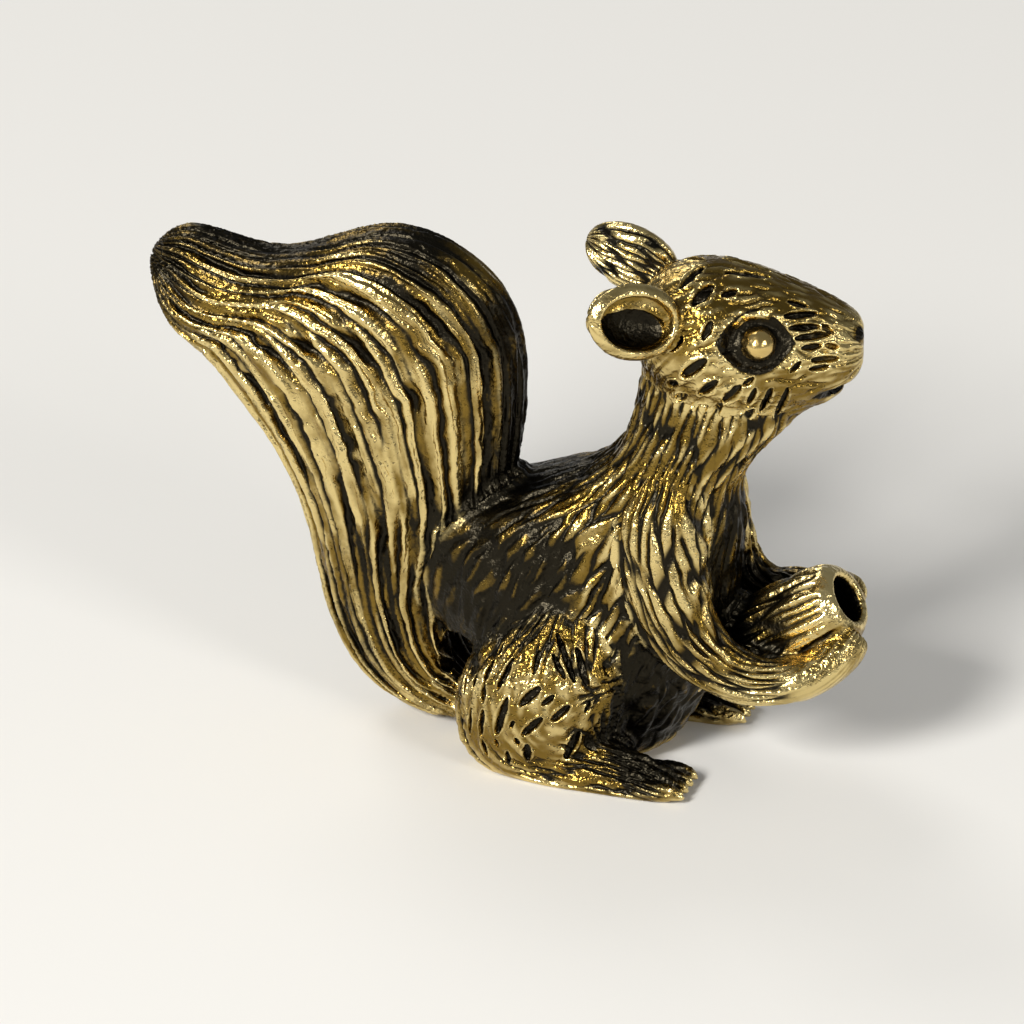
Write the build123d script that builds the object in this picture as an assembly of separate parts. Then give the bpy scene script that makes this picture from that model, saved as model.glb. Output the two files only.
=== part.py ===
from build123d import *
import math
import os

# All sizes in millimetres, X forward, Y to the animal's left, Z up, ground at Z = 0

# Joints between the castings
BRAZE_GAP = 0.05
DOWEL_DIAMETER = 3.0
NECK_DOWEL_LENGTH = 10.0
TAIL_DOWEL_LENGTH = 12.0
HIP_PIN_LENGTH = 20.0
SHOULDER_PIN_LENGTH = 14.6
NUT_DOWEL_DIAMETER = 2.0
NUT_DOWEL_LENGTH = 7.0
EAR_TENON_DIAMETER = 1.2
EAR_TENON_LENGTH = 3.0
EYE_SHANK_DIAMETER = 1.0
EYE_SHANK_LENGTH = 2.5

# Trunk and neck: height, middle of the section along X, half length, half width, turn with the head
TRUNK_STATIONS = (
    (0.4, 3.6, 6.8, 5.4, 0.0),
    (2.6, 5.1, 10.1, 7.0, 0.0),
    (8.0, 6.0, 11.6, 8.0, 0.0),
    (14.0, 5.2, 13.8, 8.1, 0.0),
    (18.5, 6.1, 13.3, 7.5, 0.0),
    (22.0, 9.8, 9.8, 6.8, 0.0),
    (25.0, 13.2, 6.3, 6.0, 4.0),
    (29.0, 16.1, 6.2, 5.4, 12.0),
    (32.0, 17.6, 7.0, 5.0, 18.0),
    (35.0, 17.0, 5.6, 4.8, 18.0),
)

# Main strands of the fur on each side of the trunk, from front to back: relative widths, and groove depth
TRUNK_STRANDS = (1.0, 1.2, 0.9, 1.1, 1.0, 1.2, 0.9, 1.1, 1.0, 1.0)
TRUNK_STRAND_DEPTH = 0.32

# Tail: front edge point, back edge point, both as X and Z, then half thickness
TAIL_RIBS = (
    ((1.0, 5.0), (-5.0, 0.2), 4.0),
    ((-1.5, 9.0), (-11.8, 2.3), 4.6),
    ((-1.0, 14.5), (-15.9, 9.2), 5.0),
    ((0.3, 20.5), (-17.6, 16.6), 5.6),
    ((1.2, 27.5), (-20.0, 22.0), 6.2),
    ((0.9, 34.8), (-22.4, 25.1), 6.2),
    ((-2.9, 40.6), (-24.5, 27.6), 5.8),
    ((-9.2, 42.7), (-26.2, 29.2), 5.2),
    ((-15.6, 40.7), (-27.5, 30.2), 4.5),
    ((-21.2, 39.5), (-28.7, 31.3), 3.9),
    ((-26.2, 40.4), (-29.6, 33.0), 3.2),
    ((-29.0, 39.5), (-30.3, 35.6), 2.0),
    ((-30.0, 38.5), (-30.5, 37.0), 0.8),
)

# Main strands on each side of the tail, from its back edge to its front edge
TAIL_STRANDS = (1.0, 1.2, 0.9, 1.3, 1.0, 1.2, 0.8, 1.2, 1.0, 1.1, 0.9)
TAIL_STRAND_DEPTH = 0.6
TAIL_STRAND_SWAY = 4.0
TAIL_FULL_THICKNESS = 4.0

# Flat top of a strand: share of its width where it starts
STRAND_SHOULDER = 0.24

# Open eyelet between the tail root and the rump
EYELET_X = -2.8
EYELET_Z = 7.2
EYELET_HALF_LENGTH = 2.0
EYELET_HALF_HEIGHT = 2.8

# Head, in its own frame: distance forward of the neck, middle height, half height, half width
NECK_X = 16.5
HEAD_TURN = 18.0
HEAD_STATIONS = (
    (-5.8, 37.6, 2.0, 2.2),
    (-4.6, 37.6, 4.2, 4.2),
    (-2.0, 37.3, 6.0, 5.7),
    (1.5, 36.8, 6.6, 6.2),
    (4.5, 36.4, 6.2, 5.7),
    (7.5, 36.1, 5.3, 4.6),
    (10.0, 36.1, 4.1, 3.5),
    (11.4, 36.3, 3.0, 2.6),
    (12.2, 36.6, 1.5, 1.3),
)
MOUTH_BACK = (7.8, 33.2)
MOUTH_FRONT_X = 13.0
MOUTH_FRONT_Z = 33.3
MOUTH_OPENING = 1.1
NOSTRIL_PLACE = (11.8, 1.2, 37.8)
NOSTRIL_RADIUS = 0.5

# Eyes, in the head frame
EYE_PLACE = (3.9, 5.5, 39.0)
EYE_FACING = (0.18, 0.90, 0.40)
EYE_RADIUS = 1.3
EYE_SUNK = 0.55
SOCKET_HALF_LENGTH = 3.1
SOCKET_HALF_HEIGHT = 2.4
SOCKET_DEPTH = 1.3
LID_HALF_LENGTH = 2.2
LID_HALF_HEIGHT = 1.65
LID_RISE = 0.9

# Ears, in the head frame
EAR_PLACE = (-6.1, 5.6, 41.1)
EAR_POINTING = (-6.9, 2.65, 2.25)
EAR_FACING = (0.406, 0.892, 0.194)
EAR_HALF_LENGTH = 4.2
EAR_HALF_WIDTH = 3.2
EAR_HALF_THICKNESS = 1.8
EAR_RIM = 1.0
EAR_CUP_DEPTH = 2.0

# Haunch: height, middle along X, half length, middle along Y, half width
HAUNCH_STATIONS = (
    (0.0, 4.4, 4.4, 7.4, 2.4),
    (1.4, 4.0, 5.7, 7.3, 3.2),
    (4.0, 4.0, 6.5, 7.1, 3.8),
    (7.5, 4.7, 6.7, 6.8, 4.2),
    (11.0, 5.6, 5.7, 6.2, 3.9),
    (13.8, 6.4, 3.6, 5.6, 3.0),
    (15.2, 6.8, 1.2, 5.0, 1.2),
)

# Hind foot: place along X, middle along Y, half width, height of the instep
FOOT_STATIONS = (
    (1.0, 7.4, 1.6, 2.0),
    (4.0, 7.5, 2.6, 3.6),
    (9.0, 7.7, 2.8, 4.2),
    (12.5, 7.9, 2.6, 3.1),
    (15.2, 7.9, 2.4, 2.1),
    (16.2, 7.9, 2.0, 1.5),
)
TOE_COUNT = 4
TOE_X = 15.0
TOE_PITCH = 1.25
TOE_HALF_LENGTH = 2.6
TOE_RADIUS = 0.85
CLAW_LENGTH = 1.6
CLAW_RADIUS = 0.4
CLAW_TIP_RADIUS = 0.1
CLAW_DROOP = 18.0
LEFT_FOOT_FORWARD = 0.8
LEFT_FOOT_INWARD = 1.6

# Forelegs from the shoulder to the paw: X, distance from the middle, Z, half depth, half width
UPPER_ARM_STATIONS = (
    (14.6, 2.8, 27.5, 1.4, 1.4),
    (14.2, 4.6, 24.2, 3.2, 2.6),
    (14.1, 5.4, 20.8, 3.9, 2.8),
    (15.1, 5.9, 16.7, 3.5, 2.7),
    (17.3, 6.1, 12.5, 2.9, 2.5),
)
RIGHT_FOREARM_STATIONS = (
    (21.2, 5.8, 10.1, 2.2, 2.1),
    (25.2, 4.7, 9.9, 1.8, 1.9),
    (27.9, 3.0, 11.3, 1.7, 1.8),
    (29.1, 1.2, 13.2, 1.3, 1.3),
)
LEFT_FOREARM_STATIONS = (
    (20.8, 5.8, 11.6, 2.6, 2.3),
    (24.2, 4.6, 12.8, 2.5, 2.0),
    (26.8, 3.4, 14.2, 1.9, 1.6),
    (28.0, 2.6, 15.0, 1.0, 1.0),
)

# Bored nut held between the paws: radius and distance behind the mouth
NUT_MOUTH = (28.4, 0.0, 15.6)
NUT_TILT = 33.0
NUT_LENGTH = 15.0
NUT_LIP = (3.0, 0.6)
NUT_SHOULDER = (3.7, 3.2)
NUT_WAIST = (3.6, 7.0)
NUT_END_RADIUS = 2.4
STICK_HOLE_RADIUS = 1.9
STICK_HOLE_DEPTH = 6.5
STICK_HOLE_CHAMFER = 0.3
NUT_FLOOR = 1.0

# Block of space above the ground that the feet and the tail are trimmed to
GROUND_REACH = 200.0

# Middles of the joints
NECK_JOINT = (16.6, 0.0, 34.5)
TAIL_JOINT = (-8.2, 0.0, 14.5)
HIP_JOINT = (5.2, 0.0, 7.5)
SHOULDER_JOINT = (14.2, 0.0, 20.5)


def ellipsoid(half_x, half_y, half_z):
    return scale(Sphere(1.0), by=(half_x, half_y, half_z))


def level_section(height, middle_x, half_length, middle_y, half_width):
    level = Plane(origin=(middle_x, middle_y, height), x_dir=(1, 0, 0), z_dir=(0, 0, 1))
    return level * Ellipse(half_length, half_width)


def upright_section(place_x, middle_y, middle_z, half_width, half_height):
    upright = Plane(origin=(place_x, middle_y, middle_z), x_dir=(0, 1, 0), z_dir=(1, 0, 0))
    return upright * Ellipse(half_width, half_height)


# Ellipse with a groove between neighbouring strands, the same on both sides of its length
def stranded_section(half_length, half_width, strand_widths, depth, sway):
    upper = []
    reach = 0
    for width in strand_widths:
        for share in (0, STRAND_SHOULDER, 1 - STRAND_SHOULDER):
            angle = math.pi * (reach + share * width) / sum(strand_widths)
            angle = angle + math.radians(sway) * math.sin(angle)
            inset = 0 if share else depth
            upper.append(((half_length - inset) * math.cos(angle), (half_width - inset) * math.sin(angle)))
        reach = reach + width
    lower = [(along, -aside) for along, aside in reversed(upper[1:])]
    return make_face(Polyline(*upper, (depth - half_length, 0), *lower, close=True))


def above_ground(shape):
    return shape & Pos(0, 0, GROUND_REACH / 2) * Box(GROUND_REACH, GROUND_REACH, GROUND_REACH)


def pin(middle, direction, diameter, length):
    place = Plane(origin=middle, z_dir=direction)
    return place * Cylinder(diameter / 2, length)


def pin_hole(middle, direction, diameter, length):
    return pin(middle, direction, diameter + 2 * BRAZE_GAP, length + 2 * BRAZE_GAP)


# Trunk with the neck
def trunk_form():
    sections = []
    for height, middle_x, half_length, half_width, turn in TRUNK_STATIONS:
        level = Pos(NECK_X, 0, height) * Rot(0, 0, turn) * Pos(middle_x - NECK_X, 0, 0)
        outline = stranded_section(half_length, half_width, TRUNK_STRANDS, TRUNK_STRAND_DEPTH, 0)
        sections.append(level * outline)
    return loft(sections)


def eyelet_form():
    mouth = Pos(EYELET_X, EYELET_Z) * Ellipse(EYELET_HALF_LENGTH, EYELET_HALF_HEIGHT)
    through = TRUNK_STATIONS[2][3]
    return extrude(Plane.XZ * mouth, through, both=True)


# Tail as ribs across its flow
def tail_form():
    sections = []
    for number, (front, back, half_thickness) in enumerate(TAIL_RIBS):
        across = Vector(back[0] - front[0], 0, back[1] - front[1])
        middle = ((front[0] + back[0]) / 2, 0, (front[1] + back[1]) / 2)
        along = Vector(0, 1, 0).cross(across)
        rib = Plane(origin=middle, x_dir=across, z_dir=along)
        depth = TAIL_STRAND_DEPTH * min(1, half_thickness / TAIL_FULL_THICKNESS)
        sway = TAIL_STRAND_SWAY * math.sin(number)
        sections.append(rib * stranded_section(across.length / 2, half_thickness, TAIL_STRANDS, depth, sway))
    return above_ground(loft(sections))


# Head and what it carries, built straight ahead and then turned
def place_on_neck(shape):
    return Pos(NECK_X, 0, 0) * Rot(0, 0, HEAD_TURN) * shape


def head_form():
    sections = []
    for place_x, middle_z, half_height, half_width in HEAD_STATIONS:
        sections.append(upright_section(place_x, 0, middle_z, half_width, half_height))
    return loft(sections)


def mouth_form():
    half_opening = MOUTH_OPENING / 2
    profile = make_face(
        Polyline(
            MOUTH_BACK,
            (MOUTH_FRONT_X, MOUTH_FRONT_Z + half_opening),
            (MOUTH_FRONT_X, MOUTH_FRONT_Z - half_opening),
            MOUTH_BACK,
        )
    )
    return extrude(Plane.XZ * profile, MOUTH_FRONT_X, both=True)


def nostril_form(side):
    return Pos(NOSTRIL_PLACE[0], side * NOSTRIL_PLACE[1], NOSTRIL_PLACE[2]) * Sphere(NOSTRIL_RADIUS)


def eye_plane(side, sunk):
    facing = Vector(EYE_FACING[0], side * EYE_FACING[1], EYE_FACING[2]).normalized()
    surface = Vector(EYE_PLACE[0], side * EYE_PLACE[1], EYE_PLACE[2])
    return Plane(origin=surface - facing * sunk, x_dir=(1, 0, 0), z_dir=facing)


def eye_form(side):
    seat = eye_plane(side, EYE_SUNK)
    reach = EYE_RADIUS + EYE_SHANK_LENGTH
    shank = Pos(0, 0, -reach / 2) * Cylinder(EYE_SHANK_DIAMETER / 2, reach)
    return seat * (Sphere(EYE_RADIUS) + shank)


def socket_form(side):
    seat = eye_plane(side, 0)
    return seat * ellipsoid(SOCKET_HALF_LENGTH, SOCKET_HALF_HEIGHT, SOCKET_DEPTH)


def lid_form(side):
    seat = eye_plane(side, SOCKET_DEPTH)
    return seat * ellipsoid(LID_HALF_LENGTH, LID_HALF_HEIGHT, LID_RISE)


def ear_plane(side):
    middle = (EAR_PLACE[0], side * EAR_PLACE[1], EAR_PLACE[2])
    pointing = (EAR_POINTING[0], side * EAR_POINTING[1], EAR_POINTING[2])
    facing = (EAR_FACING[0], side * EAR_FACING[1], EAR_FACING[2])
    return Plane(origin=middle, x_dir=pointing, z_dir=facing)


def ear_form(side):
    shell = ellipsoid(EAR_HALF_LENGTH, EAR_HALF_WIDTH, EAR_HALF_THICKNESS)
    cup = ellipsoid(EAR_HALF_LENGTH - EAR_RIM, EAR_HALF_WIDTH - EAR_RIM, EAR_CUP_DEPTH)
    return ear_plane(side) * (shell - Pos(0, 0, EAR_HALF_THICKNESS / 2) * cup)


def ear_tenon(side, gap):
    tenon = Cylinder(EAR_TENON_DIAMETER / 2 + gap, EAR_TENON_LENGTH + 2 * gap)
    lying = Pos(-EAR_HALF_LENGTH + EAR_RIM - EAR_TENON_LENGTH / 2, 0, 0) * Rot(0, 90, 0) * tenon
    return ear_plane(side) * lying


# Hind leg with its foot, toes and claws, as a right one
def hind_leg_form(foot_forward, foot_inward):
    haunch_sections = []
    for height, middle_x, half_length, middle_y, half_width in HAUNCH_STATIONS:
        haunch_sections.append(level_section(height, middle_x, half_length, -middle_y, half_width))
    foot_sections = []
    for place_x, middle_y, half_width, instep in FOOT_STATIONS:
        foot_sections.append(upright_section(place_x, -middle_y, 0, half_width, instep))
    foot = loft(foot_sections)
    foot_middle = -FOOT_STATIONS[-1][1]
    for number in range(TOE_COUNT):
        toe_y = foot_middle + (number - (TOE_COUNT - 1) / 2) * TOE_PITCH
        toe = Pos(TOE_X, toe_y, TOE_RADIUS) * ellipsoid(TOE_HALF_LENGTH, TOE_RADIUS, TOE_RADIUS)
        claw = Cone(CLAW_RADIUS, CLAW_TIP_RADIUS, CLAW_LENGTH)
        claw_place = Pos(TOE_X + TOE_HALF_LENGTH, toe_y, TOE_RADIUS - CLAW_RADIUS)
        foot = foot + toe + claw_place * Rot(0, 90 + CLAW_DROOP, 0) * claw
    leg = loft(haunch_sections) + Pos(foot_forward, foot_inward, 0) * foot
    return above_ground(leg)


# Foreleg from the shoulder to the paw, side -1 for the right one
def foreleg_form(side, forearm_stations):
    stations = UPPER_ARM_STATIONS + forearm_stations
    middles = []
    for place_x, from_middle, height, half_depth, half_width in stations:
        middles.append(Vector(place_x, side * from_middle, height))
    sections = []
    for number, station in enumerate(stations):
        before = middles[max(number - 1, 0)]
        after = middles[min(number + 1, len(middles) - 1)]
        along = after - before
        sideways = along.cross(Vector(0, 1, 0)).cross(along)
        ring = Plane(origin=middles[number], x_dir=sideways, z_dir=along)
        sections.append(ring * Ellipse(station[4], station[3]))
    return loft(sections)


# Nut with its stick hole, built along Z with the mouth at the top
def nut_plane():
    tilt = math.radians(NUT_TILT)
    return Plane(origin=NUT_MOUTH, x_dir=(0, 1, 0), z_dir=(math.cos(tilt), 0, math.sin(tilt)))


def nut_body():
    mouth_edge = (STICK_HOLE_RADIUS + STICK_HOLE_CHAMFER, 0)
    side = Spline(
        mouth_edge,
        (NUT_LIP[0], -NUT_LIP[1]),
        (NUT_SHOULDER[0], -NUT_SHOULDER[1]),
        (NUT_WAIST[0], -NUT_WAIST[1]),
        (NUT_END_RADIUS, -NUT_LENGTH),
    )
    closing = Polyline((NUT_END_RADIUS, -NUT_LENGTH), (0, -NUT_LENGTH), (0, 0), mouth_edge)
    outline = make_face(Curve() + [side, closing])
    return nut_plane() * revolve(Plane.XZ * outline, Axis.Z)


def stick_hole():
    hole = Pos(0, 0, -STICK_HOLE_DEPTH / 2) * Cylinder(STICK_HOLE_RADIUS, STICK_HOLE_DEPTH)
    flare = Pos(0, 0, -STICK_HOLE_CHAMFER / 2) * Cone(
        STICK_HOLE_RADIUS, STICK_HOLE_RADIUS + STICK_HOLE_CHAMFER, STICK_HOLE_CHAMFER
    )
    return nut_plane() * (hole + flare)


def build():
    trunk_raw = trunk_form()
    eyelet = eyelet_form()
    nut_raw = nut_body()

    neck_pin = pin(NECK_JOINT, (0, 0, 1), DOWEL_DIAMETER, NECK_DOWEL_LENGTH)
    neck_hole = pin_hole(NECK_JOINT, (0, 0, 1), DOWEL_DIAMETER, NECK_DOWEL_LENGTH)
    tail_pin = pin(TAIL_JOINT, (1, 0, 0), DOWEL_DIAMETER, TAIL_DOWEL_LENGTH)
    tail_hole = pin_hole(TAIL_JOINT, (1, 0, 0), DOWEL_DIAMETER, TAIL_DOWEL_LENGTH)
    hip_pin = pin(HIP_JOINT, (0, 1, 0), DOWEL_DIAMETER, HIP_PIN_LENGTH)
    hip_hole = pin_hole(HIP_JOINT, (0, 1, 0), DOWEL_DIAMETER, HIP_PIN_LENGTH)
    shoulder_pin = pin(SHOULDER_JOINT, (0, 1, 0), DOWEL_DIAMETER, SHOULDER_PIN_LENGTH)
    shoulder_hole = pin_hole(SHOULDER_JOINT, (0, 1, 0), DOWEL_DIAMETER, SHOULDER_PIN_LENGTH)

    nut_axis = nut_plane().z_dir
    behind_mouth = STICK_HOLE_DEPTH + NUT_FLOOR + BRAZE_GAP + NUT_DOWEL_LENGTH / 2
    nut_joint = nut_plane().origin - nut_axis * behind_mouth
    nut_pin = pin(nut_joint, nut_axis, NUT_DOWEL_DIAMETER, NUT_DOWEL_LENGTH)
    nut_hole = pin_hole(nut_joint, nut_axis, NUT_DOWEL_DIAMETER, NUT_DOWEL_LENGTH)

    trunk = trunk_raw - eyelet - neck_hole - tail_hole - hip_hole - shoulder_hole - nut_hole
    tail_raw = tail_form()
    tail = tail_raw - trunk_raw - eyelet - tail_hole
    right_hind_leg = hind_leg_form(0, 0) - trunk_raw - tail_raw - hip_hole
    left_hind_leg = mirror(hind_leg_form(LEFT_FOOT_FORWARD, LEFT_FOOT_INWARD), about=Plane.XZ)
    left_hind_leg = left_hind_leg - trunk_raw - tail_raw - hip_hole
    nut = nut_raw - trunk_raw - stick_hole() - nut_hole
    right_foreleg = foreleg_form(-1, RIGHT_FOREARM_STATIONS) - trunk_raw - nut_raw - shoulder_hole
    left_foreleg = foreleg_form(1, LEFT_FOREARM_STATIONS) - trunk_raw - nut_raw - shoulder_hole

    head = head_form() - mouth_form()
    ears = []
    eyes = []
    for side in (-1, 1):
        head = head - socket_form(side) + lid_form(side)
        eye = eye_form(side)
        ear = ear_form(side) - head_form() + ear_tenon(side, 0)
        head = head - eye - ear_tenon(side, BRAZE_GAP) - nostril_form(side)
        ears.append(place_on_neck(ear))
        eyes.append(place_on_neck(eye))
    head = place_on_neck(head) - trunk_raw - neck_hole

    return {
        "trunk": trunk,
        "head": head,
        "ear_right": ears[0],
        "ear_left": ears[1],
        "eye_right": eyes[0],
        "eye_left": eyes[1],
        "tail": tail,
        "hind_leg_right": right_hind_leg,
        "hind_leg_left": left_hind_leg,
        "foreleg_right": right_foreleg,
        "foreleg_left": left_foreleg,
        "nut": nut,
        "neck_dowel": neck_pin,
        "tail_dowel": tail_pin,
        "hip_pin": hip_pin,
        "shoulder_pin": shoulder_pin,
        "nut_dowel": nut_pin,
    }


os.makedirs("parts", exist_ok=True)
pieces = build()
box = Compound([piece.solid() for piece in pieces.values()]).bounding_box()
centre = Pos(-(box.min.X + box.max.X) / 2, -(box.min.Y + box.max.Y) / 2, -box.min.Z)
for name, piece in pieces.items():
    export_step(centre * piece, f"parts/{name}.step")
print("built", len(pieces), "pieces")
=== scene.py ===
import math
import bpy
import numpy as np
import openvdb as vdb
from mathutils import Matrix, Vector


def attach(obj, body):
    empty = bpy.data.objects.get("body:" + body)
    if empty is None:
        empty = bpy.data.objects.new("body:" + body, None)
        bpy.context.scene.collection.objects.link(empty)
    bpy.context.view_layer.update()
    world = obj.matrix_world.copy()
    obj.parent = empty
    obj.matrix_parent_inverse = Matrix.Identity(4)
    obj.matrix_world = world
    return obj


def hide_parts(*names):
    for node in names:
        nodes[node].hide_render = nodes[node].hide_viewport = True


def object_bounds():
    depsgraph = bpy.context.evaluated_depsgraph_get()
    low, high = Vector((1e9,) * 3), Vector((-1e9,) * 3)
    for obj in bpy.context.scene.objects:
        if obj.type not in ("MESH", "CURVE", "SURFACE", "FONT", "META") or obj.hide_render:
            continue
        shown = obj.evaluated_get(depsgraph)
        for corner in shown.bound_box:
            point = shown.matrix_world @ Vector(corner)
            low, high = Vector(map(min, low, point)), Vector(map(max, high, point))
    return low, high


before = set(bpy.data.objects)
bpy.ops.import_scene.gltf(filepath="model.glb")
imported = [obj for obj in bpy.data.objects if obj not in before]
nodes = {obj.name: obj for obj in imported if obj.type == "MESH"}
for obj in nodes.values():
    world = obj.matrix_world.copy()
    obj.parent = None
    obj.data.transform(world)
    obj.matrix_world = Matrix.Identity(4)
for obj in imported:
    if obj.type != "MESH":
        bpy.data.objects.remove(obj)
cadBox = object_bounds()
mm = 0.001
print("frame loaded,", len(nodes), "nodes")

castNodes = ["trunk", "head", "ear_right", "ear_left", "eye_right", "eye_left", "tail",
             "hind_leg_right", "hind_leg_left", "foreleg_right", "foreleg_left", "nut"]
pinNodes = ["neck_dowel", "tail_dowel", "hip_pin", "shoulder_pin", "nut_dowel"]

# how the castings turn into one worn, soft-edged skin, lengths in mm
skin = {
    "voxel": 0.16,
    "bandVoxels": 12,
    "margin": 2.4,
    "castBlur": 0.22,      # rounding of every edge
    "filletBlur": 0.95,    # brazed fillet where two forms meet
    "cavityBlur": 1.7,     # reach of the recess mask
    "strandBlur": 0.45,    # reach of the mask between the main strands
    "seamLap": 0.1,        # neighbours run this far into each other
    "crispFade": 1.5,      # a crisp spot fades this far outside its ball
    "plainFrom": (0.5, 1.7), "roundTo": (0.2, 1.3),   # fillets, by distance to the next form
    "plainLift": 2.0,
    "drawnLimit": 0.08,    # a new point moves at most this far onto the skin
    "outside": (-0.3, -0.12),      # skin level that counts as the outside
    "soleFade": (0.05, 0.9),       # height in which the carving fades to the floor
    "strandGroove": (0.55, 0.64), "strandCrest": (0.43, 0.51),   # by share of metal nearby
    "seamFade": (0.8, 2.0), "seamGroove": 0.35,    # strand grooves are paler near a seam
    "mostTriangles": 185000,       # of one piece
}
bellArea = 2.5066    # area under a bell curve of unit height and width

# the head is turned to its left on the neck
headTurn = {"pivotX": 16.54, "degrees": 18.0}


def headPoint(forward, side, height, pivot=headTurn["pivotX"]):
    angle = math.radians(headTurn["degrees"])
    x = pivot + math.cos(angle) * forward - math.sin(angle) * side
    y = math.sin(angle) * forward + math.cos(angle) * side
    return (x, y, height)


def headVector(forward, side, height):
    return headPoint(forward, side, height, 0.0)


# the same place on the other side when side is -1
def sided(row, side):
    return (row[0], side * row[1], row[2])


# places where a crease stays crisp and gets no fillet: centre and radius in mm
crispSpots = [
    (headPoint(3.9, -5.2, 39.0), 3.4), (headPoint(3.9, 5.2, 39.0), 3.4),
    (headPoint(-7.0, -6.4, 41.6), 4.6), (headPoint(-7.0, 6.4, 41.6), 4.6),
    (headPoint(10.6, 0.0, 33.4), 3.2), (headPoint(11.8, 0.0, 37.8), 2.2),
    ((28.4, 0.0, 15.6), 4.2), ((25.0, 0.0, 13.4), 4.0),
    ((16.4, -7.9, 0.8), 3.6), ((17.2, 6.3, 0.8), 3.6),
] + [((-2.8, y, 7.2), 3.0) for y in (-6.0, -3.0, 0.0, 3.0, 6.0)]


def smoothStep(low, high, value):
    share = np.clip((value - low) / (high - low), 0.0, 1.0)
    return share * share * (3.0 - 2.0 * share)


# welded copy of a CAD node in mm
def weldedSolid(name):
    mesh = nodes[name].data
    points = np.empty(len(mesh.vertices) * 3, np.float32)
    mesh.vertices.foreach_get("co", points)
    points = points.reshape(-1, 3) / mm
    mesh.calc_loop_triangles()
    corners = np.empty(len(mesh.loop_triangles) * 3, np.int32)
    mesh.loop_triangles.foreach_get("vertices", corners)
    _, first, where = np.unique(np.round(points, 4), axis=0, return_index=True, return_inverse=True)
    triangles = where.reshape(-1)[corners].reshape(-1, 3).astype(np.uint32)
    return points[first].astype(np.float32), triangles


# common voxel grid
voxel = skin["voxel"]
bandWidth = skin["bandVoxels"] * voxel
lowIndex = np.floor((np.array(cadBox[0]) / mm - skin["margin"]) / voxel).astype(int)
highIndex = np.ceil((np.array(cadBox[1]) / mm + skin["margin"]) / voxel).astype(int)
gridSize = highIndex - lowIndex + 1
gridTurn = vdb.createLinearTransform(voxelSize=voxel)


# signed distance of a node inside its own box of voxels, and that box as slices
def distanceField(name):
    points, triangles = weldedSolid(name)
    low = np.maximum(np.floor((points.min(0) - bandWidth) / voxel).astype(int), lowIndex)
    high = np.minimum(np.ceil((points.max(0) + bandWidth) / voxel).astype(int), highIndex)
    level = vdb.FloatGrid.createLevelSetFromPolygons(
        points, triangles=triangles, transform=gridTurn, halfWidth=skin["bandVoxels"])
    field = np.empty(high - low + 1, np.float32)
    level.copyToArray(field, ijk=tuple(int(i) for i in low))
    part = tuple(slice(a, b) for a, b in zip(low - lowIndex, high - lowIndex + 1))
    return field, part, low


def blurField(field, reach):
    sigma = reach / voxel
    half = max(1, int(math.ceil(2.8 * sigma)))
    weights = np.exp(-0.5 * (np.arange(-half, half + 1) / sigma) ** 2)
    weights = (weights / weights.sum()).astype(np.float32)
    for axis in range(3):
        pad = [(0, 0)] * 3
        pad[axis] = (half, half)
        wide = np.pad(field, pad, mode="edge")
        result = np.zeros_like(field)
        for number, weight in enumerate(weights):
            part = [slice(None)] * 3
            part[axis] = slice(number, number + field.shape[axis])
            result += weight * wide[tuple(part)]
        field = result
    return field


nearest = np.full(gridSize, bandWidth, np.float32)
second = np.full(gridSize, bandWidth, np.float32)
owner = np.full(gridSize, 255, np.uint8)
filled = np.zeros(gridSize, np.float32)
pinField = np.full(gridSize, bandWidth, np.float32)
fields = {}
for number, name in enumerate(castNodes):
    field, part, low = distanceField(name)
    fields[name] = (field, part, low)
    filled[part] += np.clip(0.5 - field / (2 * voxel), 0.0, 1.0)
    closer = field < nearest[part]
    second[part] = np.where(closer, nearest[part], np.minimum(second[part], field))
    nearest[part] = np.where(closer, field, nearest[part])
    owner[part] = np.where(closer, number, owner[part])
for name in pinNodes:
    field, part, low = distanceField(name)
    filled[part] += np.clip(0.5 - field / (2 * voxel), 0.0, 1.0)
    pinField[part] = np.minimum(pinField[part], field)
filled = np.clip(filled, 0.0, 1.0)
print("distance fields ready,", gridSize)

# a spot mask on the grid, 1 inside each ball and 0 a little outside it
crisp = np.zeros(gridSize, np.float32)
for centre, radius in crispSpots:
    reach = radius + skin["crispFade"]
    low = np.clip(np.floor((np.array(centre) - reach) / voxel).astype(int) - lowIndex, 0, gridSize)
    high = np.clip(np.ceil((np.array(centre) + reach) / voxel).astype(int) - lowIndex, 0, gridSize)
    axes = [((np.arange(a, b) + start) * voxel - middle) ** 2
            for a, b, start, middle in zip(low, high, lowIndex, centre)]
    away = np.sqrt(axes[0][:, None, None] + axes[1][None, :, None] + axes[2][None, None, :])
    part = tuple(slice(a, b) for a, b in zip(low, high))
    crisp[part] = np.maximum(crisp[part], 1.0 - smoothStep(radius - 0.5, reach, away))


def blurredLevel(reach):
    return (0.5 - blurField(filled, reach)) * (bellArea * reach)


# level of the skin in mm: rounded castings plus fillets in the creases
sharpSkin = blurredLevel(skin["castBlur"])
filletSkin = blurredLevel(skin["filletBlur"])
plain = np.maximum(crisp, smoothStep(*skin["plainFrom"], second))   # away from a seam there is no fillet
skinLevel = np.minimum(sharpSkin, filletSkin + skin["plainLift"] * plain).astype(np.float32)
seamShare = (1.0 - smoothStep(*skin["roundTo"], second)) * (1.0 - crisp)
skinLevel += seamShare * (filletSkin - skinLevel)
recess = blurField(filled, skin["cavityBlur"])
strandRecess = blurField(filled, skin["strandBlur"])
del sharpSkin, filletSkin, filled, crisp, plain, seamShare
print("skin ready")


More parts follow.
